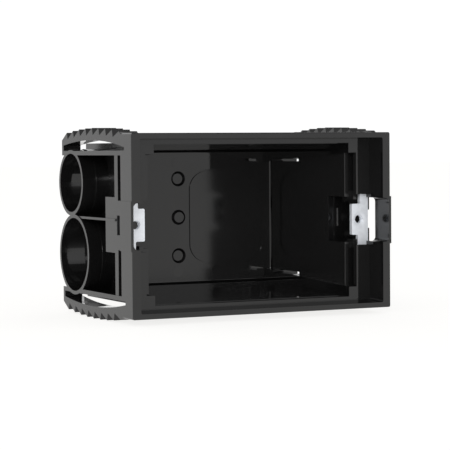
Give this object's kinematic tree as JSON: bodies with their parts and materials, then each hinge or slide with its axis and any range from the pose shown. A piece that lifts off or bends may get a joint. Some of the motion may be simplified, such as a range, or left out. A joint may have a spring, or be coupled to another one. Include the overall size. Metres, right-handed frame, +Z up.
{
  "type": "flush wall switch box",
  "caption": "Moulded flush wall box for a switch plate: recessed rim, deep cavity, serrated spring arms on the sides, conduit sockets on one end and a floating steel nut plate at each end.",
  "frame": {"origin": "centre of the front rim, in the plane that the switch plate covers and the wall surface meets", "axes": "+X along the box away from the conduit sockets, +Y into the wall, +Z up"},
  "size_m": [0.0968, 0.0682, 0.0642],
  "materials": {
    "black_plastic": "semi-gloss moulded black thermoplastic",
    "plated_steel": "bright zinc plate on stamped sheet"
  },
  "bodies": {
    "box": {"box_body": "black_plastic"},
    "left_plate": {"left_nut_plate": "plated_steel"},
    "right_plate": {"right_nut_plate": "plated_steel"}
  },
  "joints": [
    {"name": "left_plate_float", "type": "slide", "parent": "box", "child": "left_plate", "axis": [0, 0, 1], "range_m": [-0.0007, 0.0007]},
    {"name": "right_plate_float", "type": "slide", "parent": "box", "child": "right_plate", "axis": [0, 0, 1], "range_m": [-0.0007, 0.0007]}
  ]
}
